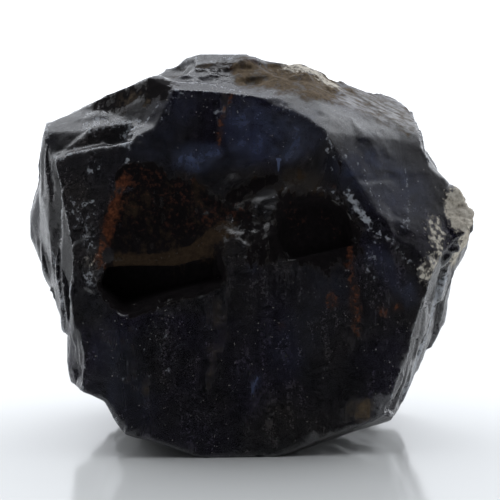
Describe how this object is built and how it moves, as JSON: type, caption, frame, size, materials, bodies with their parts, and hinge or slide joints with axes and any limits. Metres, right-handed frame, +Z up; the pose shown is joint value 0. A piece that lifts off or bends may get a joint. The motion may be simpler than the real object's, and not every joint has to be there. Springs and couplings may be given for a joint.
{
  "type": "sapphire crystal",
  "caption": "Rough, uncut dark blue sapphire crystal: one broken stone with a broad parting face, dished glassy scars, and a flat underside to stand on.",
  "frame": {"origin": "middle of the stone's bounding box at the level of the flat face that it stands on", "axes": "+Z up, +X along the stone's widest extent, to the right as the broad parting face is looked at, -Y out of that face; the stone is thinnest along Y"},
  "size_m": [0.0202, 0.0148, 0.017],
  "materials": {
    "sapphire": "natural broken corundum: glassy scars, satin parting faces, dark blue, see-through only at thin edges, with rusty stains and a little pale matrix"
  },
  "bodies": {
    "root": {"sapphire_crystal": "sapphire"}
  },
  "joints": []
}
